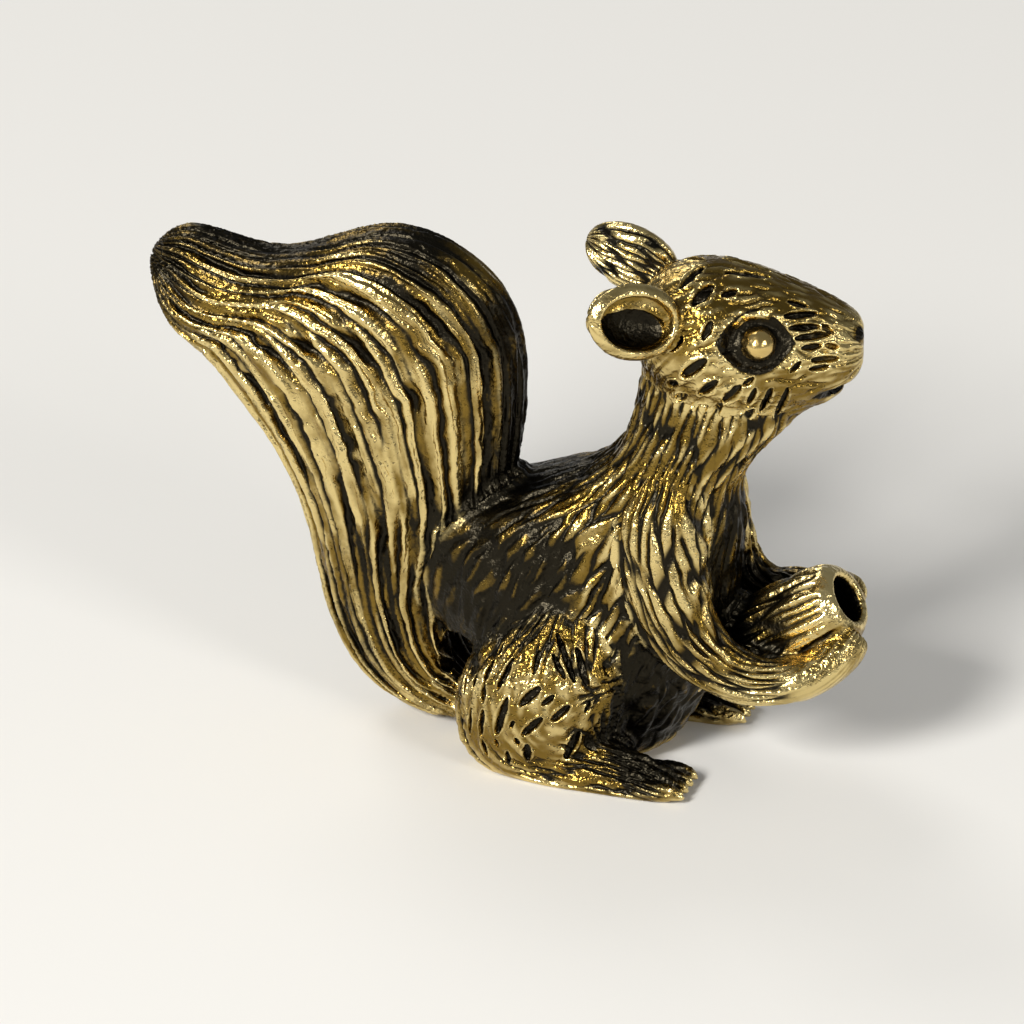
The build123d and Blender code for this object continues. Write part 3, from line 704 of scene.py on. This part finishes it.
hindLeg = {
    "line": [(7.5, -6.4, 18.0), (5.6, -6.8, 12.5), (4.2, -7.1, 7.0), (4.8, -7.3, 3.2), (8.5, -7.6, 2.0),
             (13.0, -7.8, 1.5), (19.0, -7.9, 0.8)],
    "outward": (-0.2, -1.0, 0.3),
    "flowRadius": 5.0,
    "fur": {"Lock width": 1.05, "Lock length": 3.4, "Depth": 0.3 * mm, "Groove share": 0.3,
            "Broken": 0.46, "Waviness": 0.35, "Hairline": 0.2, "Lumps": 0.42 * mm, "Finer": 1, "Seed": 41.0},
    "bare": [((3.8, 11.0, 6.8), 3.6, 5.6)],
    "markDepth": 0.36,
    # tool marks on the right haunch: two ends, then half width
    "marks": [
        ((5.7, -10.7, 9.0), (4.3, -11.0, 7.5), 0.36), ((1.5, -9.4, 10.2), (0.9, -9.9, 8.6), 0.25),
        ((0.9, -10.0, 8.4), (0.9, -10.4, 6.9), 0.23), ((3.3, -9.8, 10.8), (2.2, -10.5, 8.3), 0.23),
        ((3.1, -10.8, 7.7), (2.2, -10.8, 4.5), 0.31), ((5.4, -9.7, 11.8), (5.2, -10.4, 10.2), 0.25),
        ((6.0, -10.9, 6.5), (4.5, -11.0, 4.8), 0.29), ((6.9, -10.7, 8.5), (6.1, -10.9, 7.7), 0.23),
        ((8.1, -10.4, 7.6), (6.9, -10.8, 6.4), 0.31), ((-1.9, -8.0, 7.6), (-1.8, -8.6, 6.0), 0.19),
        ((-1.1, -8.4, 8.3), (-1.0, -9.3, 6.8), 0.18), ((0.0, -9.3, 8.7), (-0.2, -9.6, 7.5), 0.19),
        ((-1.4, -9.2, 5.4), (-1.3, -9.3, 3.5), 0.19), ((-0.2, -9.9, 5.9), (-0.4, -9.8, 3.4), 0.19),
        ((1.0, -10.5, 6.2), (0.7, -10.3, 3.8), 0.21), ((0.8, -10.3, 3.4), (1.2, -10.2, 2.0), 0.19),
        ((2.1, -10.7, 3.8), (2.2, -10.7, 3.2), 0.19), ((3.9, -10.9, 4.3), (4.0, -10.9, 3.8), 0.25),
        ((4.8, -10.8, 3.8), (4.7, -10.6, 2.3), 0.31), ((3.1, -10.7, 2.9), (3.1, -10.5, 1.7), 0.21),
        ((3.7, -11.0, 5.9), (3.4, -11.0, 5.2), 0.15), ((6.6, -9.8, 11.7), (7.7, -10.2, 10.0), 0.23),
        ((6.7, -9.0, 13.2), (8.5, -10.0, 9.7), 0.25), ((8.4, -9.1, 12.2), (9.5, -9.6, 9.4), 0.29),
        ((8.8, -9.9, 5.0), (7.8, -10.0, 2.8), 0.33), ((2.1, -8.9, 11.6), (1.8, -9.3, 10.8), 0.16),
        ((9.7, -9.6, 7.8), (9.4, -9.8, 6.9), 0.19),
    ],
    "toePitch": 1.25, "toeGap": 0.2, "toeDepth": 0.4, "toeFrom": (10.5, 13.5), "toeUp": (-0.2, 0.3),
    "toeDark": 0.9, "clawFrom": (17.2, 17.7), "clawBright": 1.2,
    "toesBare": (17.5, 0.6, 2.2, 4.2),                   # place along X and Z, inner and outer radius
    "rightFoot": (0.0, -7.9), "leftFoot": (0.8, 6.3),    # how far forward, and middle along Y
}

foreleg = {
    "upperLine": [(14.6, 2.8, 29.0), (14.2, 4.6, 24.2), (14.1, 5.4, 20.8), (15.1, 5.9, 16.7),
                  (17.3, 6.1, 12.5)],
    "rightLine": [(21.2, -5.8, 10.1), (25.2, -4.7, 9.9), (27.9, -3.0, 11.3), (29.6, -0.6, 13.8)],
    "leftLine": [(20.8, 5.8, 11.6), (24.2, 4.6, 12.8), (26.8, 3.4, 14.2), (28.6, 2.2, 15.6)],
    "outward": (-0.25, 1, 0.15),
    "flowRadius": 3.0,
    "fur": {"Lock width": 0.95, "Lock length": 5.5, "Depth": 0.38 * mm, "Groove share": 0.28,
            "Broken": 0.38, "Waviness": 0.3, "Hairline": 0.25, "Finer": 1, "Seed": 53.0},
    "bareRight": [((27.6, -3.6, 10.6), 2.4, 5.5)],
    "bareLeft": [((27.6, 3.2, 14.8), 1.0, 3.0)],
}

nut = {
    "mouth": (28.44, 0, 15.6),
    "line": [(29.2, 0, 16.1), (24.2, 0, 12.9), (18.0, 0, 8.8)],
    "outward": (-0.5, 0, 0.84),
    "flowRadius": 3.6,
    "fur": {"Lock width": 1.0, "Lock length": 7.0, "Depth": 0.32 * mm, "Groove share": 0.36,
            "Broken": 0.25, "Waviness": 0.15, "Hairline": 0.25, "Stain": 0.75, "Finer": 1, "Seed": 67.0},
    "bare": [((28.6, 0, 15.7), 3.3, 4.0)],
    "holeWall": (2.0, 2.3), "holeStart": (0.1, 0.9), "holePaintedShade": 1.6,
}


# painted shade: the stick hole is painted black inside
def holeShade(points, normals):
    axis = np.array(nut["line"][0]) - np.array(nut["line"][2])
    axis /= np.linalg.norm(axis)
    reach = points - np.array(nut["mouth"])
    deep = -(reach @ axis)
    radius = np.linalg.norm(reach + deep[:, None] * axis, axis=1)
    inside = (1.0 - smoothStep(*nut["holeWall"], radius)) * smoothStep(*nut["holeStart"], deep)
    return [(np.zeros(len(points)), nut["holePaintedShade"] * inside)]


# 0 inside a ball and 1 outside it
def outsideBall(points, centre, inner, outer):
    return smoothStep(inner, outer, np.linalg.norm(points - np.array(centre), axis=1))


def bareMask(points, spots):
    mask = np.ones(len(points))
    for spot in spots:
        mask *= outsideBall(points, *spot)
    return mask


# 1 where the coat is short and only finely scratched
def fineMask(points, spots):
    mask = np.zeros(len(points))
    for spot in spots:
        mask = np.maximum(mask, 1.0 - outsideBall(points, *spot))
    return mask


def zoneShade(points, zones):
    shade = np.zeros(len(points))
    for centre, inner, outer, amount in zones:
        shade += amount * (1.0 - outsideBall(points, centre, inner, outer))
    return shade


# where the patina stays dark (above 0) or is rubbed off (below 0), and where painted shade (above 0) and
# painted highlights (below 0) are added as noted: centre, inner and outer radius in mm
bothSides = [
    ((1.4, -7.5, 16.5), 4.5, 9.0, 0.46),       # flank
    ((14.0, -4.5, 6.5), 3.5, 7.0, 0.6),        # belly beside the haunch: patina, with painted shade under the body
    ((21.5, -3.0, 12.6), 2.5, 5.0, 0.6),       # between foreleg and nut: patina, with painted shade where the parts meet
    ((14.5, -7.2, 2.6), 2.0, 4.6, 0.5), ((12.5, -9.8, 1.2), 2.5, 5.5, 0.34),   # instep, side of the foot
    ((-1.5, -4.5, 11.0), 2.0, 5.5, 0.4),       # tail root
    ((16.5, -6.0, 28.5), 2.5, 6.0, 0.2), ((-11.0, -5.0, 11.0), 4.0, 8.0, 0.2),   # neck; lower tail with patina and painted shade that dulls its highlights
    ((14.6, -8.4, 20.0), 2.5, 6.5, -0.35),     # shoulder: rubbed brass, with a painted highlight where the key lamp falls
    ((24.0, -6.0, 9.0), 2.0, 6.0, -0.35),      # forearm: rubbed brass, with a painted highlight where the key lamp falls
    ((4.0, -11.5, 7.5), 3.0, 7.5, -0.2),       # haunch: rubbed brass, with a painted highlight where the key lamp falls
    ((-12.0, -6.0, 27.0), 4.0, 10.0, -0.3),   # middle of the tail: rubbed brass, with a painted highlight where the key lamp falls
    (headPoint(0.5, -6.5, 35.0), 2.5, 5.0, -0.4),    # cheek: rubbed brass, with a painted highlight where the key lamp falls
    (headPoint(8.5, -4.0, 37.5), 1.5, 3.5, -0.3),    # snout: rubbed brass, with a painted highlight where the key lamp falls
]
patinaAndPaintedLightZones = [
    ((5.0, 0.0, 24.0), 3.0, 7.0, 0.45), ((11.0, 0.0, 30.0), 2.5, 6.5, 0.32),   # back, nape
    ((20.5, 0.0, 20.0), 3.0, 6.5, 0.5),        # chest
    ((0.8, 0.0, 20.5), 2.0, 6.5, 0.6), ((1.6, 0.0, 27.5), 2.0, 7.0, 0.6),   # tail's front edge: patina, with painted shade where it turns from the key lamp
    ((1.0, 0.0, 34.5), 2.0, 7.0, 0.5), ((-4.0, 0.0, 39.0), 4.0, 9.0, 0.24),
    ((-9.0, 0.0, 44.0), 3.0, 8.0, 0.5), ((-20.0, 0.0, 42.0), 3.0, 8.5, 0.6),   # tail's upper edge: painted shade in the patina colour, dulling the highlights on top
    # tail's tip and lower end: painted shade in the patina colour
    ((-30.0, 0.0, 37.0), 3.0, 9.5, 0.55), ((-13.0, 0.0, 5.0), 3.0, 8.0, 0.22),
]
# nut: darker at its back end between the forelegs (patina and painted shade), brighter on its sides (rubbed
# brass and painted highlight)
nutZones = [((19.0, 0.0, 10.0), 3.0, 6.0, 0.45), ((25.0, -3.0, 16.0), 2.0, 4.5, -0.4),
            ((25.0, 3.0, 16.0), 2.0, 4.5, -0.4)]
for centre, inner, outer, amount in bothSides:
    patinaAndPaintedLightZones += [(sided(centre, side), inner, outer, amount) for side in (1, -1)]

fur = furTree()


# carve one casting and turn it into a plain mesh
def carvedPiece(pieceName, node, flow, values, finish, bare=(), extraMask=None, shades=patinaAndPaintedLightZones,
                cuts=None, fineSpots=()):
    points, quads = castingMesh(node)
    if values.get("Finer"):
        points, quads = finerMesh(points, quads)
    points[:, 2] = np.maximum(points[:, 2], 0.0)
    normals = skinNormals(points)
    outer = smoothStep(*skin["outside"], sampleField(skinLevel, points))
    depth = bareMask(points, bare) * outer * smoothStep(*skin["soleFade"], points[:, 2])
    if extraMask is not None:
        depth *= extraMask(points, normals)
    hollow = sampleField(strandRecess, points)
    clear = smoothStep(*skin["seamFade"], sampleField(second, points))
    clear = skin["seamGroove"] + (1.0 - skin["seamGroove"]) * clear
    between = smoothStep(*skin["strandGroove"], hollow) * outer * clear
    # patina with painted shade and painted highlights from the zone tables
    shade = zoneShade(points, shades)
    for cutDepth, cutShade in (cuts(points, normals) if cuts else ()):
        points = points - normals * (cutDepth * outer)[:, None]
        shade = shade + cutShade
    carving = {
        "furFlow": flow(points), "skinNormal": normals, "furDepth": depth, "strandGroove": between,
        "skinShare": outer * smoothStep(*skin["soleFade"], points[:, 2]),
        "strandCrest": 1.0 - smoothStep(*skin["strandCrest"], hollow),
        "fineShare": fineMask(points, fineSpots)}
    piece = meshObject(pieceName, points, quads, dict(
        carving, recess=sampleField(recess, points), patinaAndPaintedLight=shade))
    modifier = piece.modifiers.new("carvedFur", "NODES")
    modifier.node_group = fur
    settings = dict(values, Finish=finish)
    for item in fur.interface.items_tree:
        if item.item_type == "SOCKET" and item.in_out == "INPUT" and item.name in settings:
            modifier[item.identifier] = settings[item.name]
    if 2 * len(quads) > skin["mostTriangles"]:
        thinner = piece.modifiers.new("thinner", "DECIMATE")
        thinner.ratio = skin["mostTriangles"] / (2 * len(quads))
        thinner.use_collapse_triangulate = True
    graph = bpy.context.evaluated_depsgraph_get()
    carved = bpy.data.meshes.new_from_object(piece.evaluated_get(graph), depsgraph=graph)
    piece.modifiers.clear()
    piece.data = carved
    carved.name = pieceName
    for spare in carving:
        store = carved.attributes.get(spare)
        if store is not None:
            carved.attributes.remove(store)
    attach(piece, "root")
    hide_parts(node)
    print(pieceName, len(carved.polygons), "faces")


# fur that runs along a piece's line, as a function of the points alone
def runningFur(values):
    return lambda points: lineFlow(points, values["line"], values["outward"], values["flowRadius"])


toolMark = {"reach": 1.5, "taper": 0.75, "edge": (0.6, 1.15), "dark": 1.1,
            "rimAt": 1.6, "rimHalf": 0.35, "rimHeight": 0.08, "rimBright": 0.45}


# single tool marks, tapered, each with a raised bright rim
def markCut(points, normals, marks, depth):
    mark = np.zeros(len(points))
    rim = np.zeros(len(points))
    for first, last, half in marks:
        a, b = np.array(first), np.array(last)
        near = np.linalg.norm(points - (a + b) / 2, axis=1) < np.linalg.norm(b - a) / 2 + toolMark["reach"]
        share = np.clip((points[near] - a) @ (b - a) / ((b - a) @ (b - a)), 0.0, 1.0)
        reach = points[near] - (a + share[:, None] * (b - a))
        beside = reach - normals[near] * (reach * normals[near]).sum(1)[:, None]
        taper = np.sqrt(1.0 - toolMark["taper"] * (2.0 * share - 1.0) ** 2)
        ratio = np.linalg.norm(beside, axis=1) / (half * taper)
        close = np.linalg.norm(reach, axis=1) < toolMark["reach"]
        edge = np.exp(-((ratio - toolMark["rimAt"]) / toolMark["rimHalf"]) ** 2)
        mark[near] = np.maximum(mark[near], (1.0 - smoothStep(*toolMark["edge"], ratio)) * close)
        rim[near] = np.maximum(rim[near], edge * close)
    rim *= 1.0 - mark
    return [(depth * mark - toolMark["rimHeight"] * rim, toolMark["dark"] * mark - toolMark["rimBright"] * rim)]


def headMarks():
    return [(headPoint(*sided(a, side)), headPoint(*sided(b, side)), half)
            for side in (1, -1) for a, b, half in head["strokes"]]


# dark almond round each eye, with a bright edge on the upper lid
def eyeShade(points):
    shade = np.zeros(len(points))
    for side in (1, -1):
        facing = np.array(headVector(*sided(head["eyeFacing"], side)))
        facing /= np.linalg.norm(facing)
        ahead = np.array(headVector(1.0, 0.0, 0.0))
        ahead -= facing * (ahead @ facing)
        ahead /= np.linalg.norm(ahead)
        rise = np.cross(facing, ahead) * -side
        reach = points - np.array(headPoint(*sided(head["eyeMiddle"], side)))
        u, v = reach @ ahead, reach @ rise
        close = np.abs(reach @ facing) < head["eyeReach"]
        long, high = head["eyeHalf"]
        edge = np.abs(v) / (high * np.maximum(1.0 - (u / long) ** 2, 0.02))
        shade += head["eyeDark"] * (1.0 - smoothStep(0.85, 1.1, edge)) * (np.abs(u) < long) * close
        radius, half, start, stop = head["lidArc"]
        fade = head["lidFade"]
        u = u - head["lidShift"]
        angle = np.degrees(np.arctan2(v, u))
        arc = 1.0 - smoothStep(0.6 * half, half, np.abs(np.hypot(u, v) - radius))
        ends = 1.0 - smoothStep(stop - fade, stop + fade, angle)
        arc *= smoothStep(start - fade, start + fade, angle) * ends
        shade -= head["lidBright"] * arc * close
    return [(np.zeros(len(points)), shade)]


# mouth line drawn in deeper, and dark
def mouthCut(points):
    back = np.array(head["mouthBack"])
    front = np.array(head["mouthFront"])
    share = np.clip((points - back) @ (front - back) / ((front - back) @ (front - back)), 0.0, 1.2)
    rise = points[:, 2] - (back + share[:, None] * (front - back))[:, 2]
    reach = smoothStep(0.0, 0.3, share) * (share < 1.15)
    line = np.exp(-(rise / head["mouthHalf"]) ** 2) * reach
    return [(head["mouthDepth"] * line, head["mouthDark"] * line)]


def headCuts(points, normals):
    return mouthCut(points) + markCut(points, normals, headMarks(), head["strokeDepth"]) + eyeShade(points)


carvedPiece("tailBrush", "tail", lambda p: ribFlow(p, tail["ribs"], tail["flowRadius"]), tail["fur"],
            finishes["tail"])
carvedPiece("trunkFur", "trunk", runningFur(trunk), trunk["fur"], finishes["body"],
            fineSpots=trunk["fineSpots"])
carvedPiece("headFur", "head", runningFur(head), head["fur"], finishes["body"], head["bare"],
            shades=patinaAndPaintedLightZones + head["shades"], cuts=headCuts)
for side, name in ((-1, "right"), (1, "left")):
    middle = np.array(headPoint(*sided(ear["middle"], side)))
    pointing = np.array(headVector(*sided(ear["pointing"], side)))
    pointing /= np.linalg.norm(pointing)
    facing = np.array(headVector(*sided(ear["facing"], side)))
    line = [tuple(middle + pointing * s) for s in (-ear["flowHalf"], 0.0, ear["flowHalf"])]
    earFur = runningFur(dict(ear, line=line, outward=tuple(-facing)))

    def earMask(points, normals):
        return 1.0 - smoothStep(-0.1, 0.35, normals @ facing)

    # dark hollow, bright back, and a rim that is filled out at the top
    def cupCut(points, normals):
        reach = points - middle
        facingShare = normals @ facing
        u, v = reach @ pointing, -side * (reach @ np.cross(facing, pointing)) - ear["cupDrop"]
        away = np.hypot(u / ear["cupHalf"][0], v / ear["cupHalf"][1])
        rimAway = np.hypot(u / ear["cupEdge"][0], (v + ear["cupDrop"]) / ear["cupEdge"][1])
        inside = (1.0 - smoothStep(0.85, 1.05, away)) * smoothStep(-0.1, 0.2, facingShare)
        back = 1.0 - smoothStep(-0.9, -0.2, facingShare)
        hollow = smoothStep(0.3, 0.7, facingShare) * (1.0 - smoothStep(0.1, 0.4, reach @ facing))
        fill = hollow * smoothStep(0.95, 1.35, away) * smoothStep(0.0, 0.6, -v)
        fill *= 1.0 - smoothStep(0.8, 1.0, rimAway)
        shade = ear["cupDark"] * inside - ear["backBright"] * back - ear["rimBright"] * fill
        return [(-ear["rimFill"] * fill, shade)]

    carvedPiece("earCup_" + name, "ear_" + name, earFur, ear["fur"], finishes["body"],
                extraMask=earMask, cuts=cupCut)
    carvedPiece("eyeBead_" + name, "eye_" + name, earFur, dict(ear["fur"], Depth=0.0), finishes["eye"],
                extraMask=lambda points, normals: np.zeros(len(points)))

    legLine = [sided(row, -side) for row in hindLeg["line"]]
    ahead, footMiddle = hindLeg[name + "Foot"]
    toeX, toeZ, inner, outer = hindLeg["toesBare"]
    legBare = [((toeX + ahead, footMiddle, toeZ), inner, outer)]
    legBare += [(sided(centre, side), inner, outer) for centre, inner, outer in hindLeg["bare"]]

    # gaps between the toes, bright claws and the tool marks of the haunch
    def legCuts(points, normals):
        gaps = np.zeros(len(points))
        for number in (-1, 0, 1):
            gap = footMiddle + number * hindLeg["toePitch"]
            gaps = np.maximum(gaps, np.exp(-((points[:, 1] - gap) / hindLeg["toeGap"]) ** 2))
        forward = points[:, 0] - ahead
        gaps *= smoothStep(*hindLeg["toeFrom"], forward) * smoothStep(*hindLeg["toeUp"], normals[:, 2])
        claw = smoothStep(*hindLeg["clawFrom"], forward)
        marks = [(sided(a, -side), sided(b, -side), half) for a, b, half in hindLeg["marks"]]
        shade = hindLeg["toeDark"] * gaps - hindLeg["clawBright"] * claw
        return [(hindLeg["toeDepth"] * gaps, shade)] + markCut(points, normals, marks, hindLeg["markDepth"])

    carvedPiece("haunch_" + name, "hind_leg_" + name,
                runningFur(dict(hindLeg, line=legLine, outward=sided(hindLeg["outward"], -side))),
                hindLeg["fur"], finishes["body"], legBare, cuts=legCuts)
    armLine = [sided(row, side) for row in foreleg["upperLine"]] + foreleg[name + "Line"]
    carvedPiece("foreleg_" + name + "_fur", "foreleg_" + name,
                runningFur(dict(foreleg, line=armLine, outward=sided(foreleg["outward"], side))),
                foreleg["fur"], finishes["body"], foreleg["bare" + name.capitalize()])
carvedPiece("nutShell", "nut", runningFur(nut), nut["fur"], finishes["nut"], nut["bare"],
            shades=nutZones, cuts=holeShade)

for name in pinNodes:
    nodes[name].data.materials.clear()
    nodes[name].data.materials.append(finishes["pin"])
print("pieces ready")

# studio: pale floor, soft lamps
studio = {
    "floorColour": (0.78, 0.77, 0.74),
    "worldColour": (0.20, 0.205, 0.21),
    "worldStrength": 1.0,
    "lampColour": (1.0, 0.98, 0.95),
    "lamps": [                                  # place, size, watts
        ((-0.35, -0.95, 0.70), 0.36, 18.0),     # key, left of the camera
        ((0.95, -0.55, 0.55), 0.30, 4.0),       # fill on the right
        ((-0.75, 0.70, 0.85), 0.50, 4.5),       # from behind on the left
    ],
    "lampTarget": (0, 0, 0.02),
}

floorMesh = bpy.data.meshes.new("floor")
floorMesh.from_pydata([(-3, -3, 0), (3, -3, 0), (3, 3, 0), (-3, 3, 0)], [], [(0, 1, 2, 3)])
floor = bpy.data.objects.new("floor", floorMesh)
bpy.context.scene.collection.objects.link(floor)
floorMaterial = bpy.data.materials.new("paleFloor")
floorMaterial.use_nodes = True
floorShader = floorMaterial.node_tree.nodes["Principled BSDF"]
floorShader.inputs["Base Color"].default_value = (*studio["floorColour"], 1.0)
floorShader.inputs["Roughness"].default_value = 0.85
floorMesh.materials.append(floorMaterial)

world = bpy.data.worlds.new("studioLight")
world.use_nodes = True
world.node_tree.nodes["Background"].inputs["Color"].default_value = (*studio["worldColour"], 1.0)
world.node_tree.nodes["Background"].inputs["Strength"].default_value = studio["worldStrength"]
bpy.context.scene.world = world

for number, (place, size, power) in enumerate(studio["lamps"]):
    lamp = bpy.data.lights.new("softbox" + str(number), "AREA")
    lamp.shape = "SQUARE"
    lamp.size = size
    lamp.energy = power
    lamp.color = studio["lampColour"]
    holder = bpy.data.objects.new(lamp.name, lamp)
    holder.location = place
    holder.rotation_mode = "QUATERNION"
    holder.rotation_quaternion = (Vector(studio["lampTarget"]) - Vector(place)).to_track_quat("-Z", "Y")
    bpy.context.scene.collection.objects.link(holder)

# camera at the photograph's angle
view = {"azimuth": 18.0, "elevation": 27.0, "distance": 1.4, "frameWidth": 0.08258, "rise": 0.0167}
azimuth, elevation = math.radians(view["azimuth"]), math.radians(view["elevation"])
back = Vector((math.sin(azimuth) * math.cos(elevation), -math.cos(azimuth) * math.cos(elevation),
               math.sin(elevation)))
turned = (-back).to_track_quat("-Z", "Y")
up = turned @ Vector((0, 1, 0))
camera = bpy.data.cameras.new("photoCamera")
camera.sensor_width = 36.0
camera.lens = 36.0 * view["distance"] / view["frameWidth"]
camera.clip_start = 0.01
camera.clip_end = 20.0
cameraHolder = bpy.data.objects.new("photoCamera", camera)
cameraHolder.rotation_mode = "QUATERNION"
cameraHolder.rotation_quaternion = turned
cameraHolder.location = up * view["rise"] + back * view["distance"]
bpy.context.scene.collection.objects.link(cameraHolder)
bpy.context.scene.camera = cameraHolder

bpy.context.scene.view_settings.view_transform = "Standard"
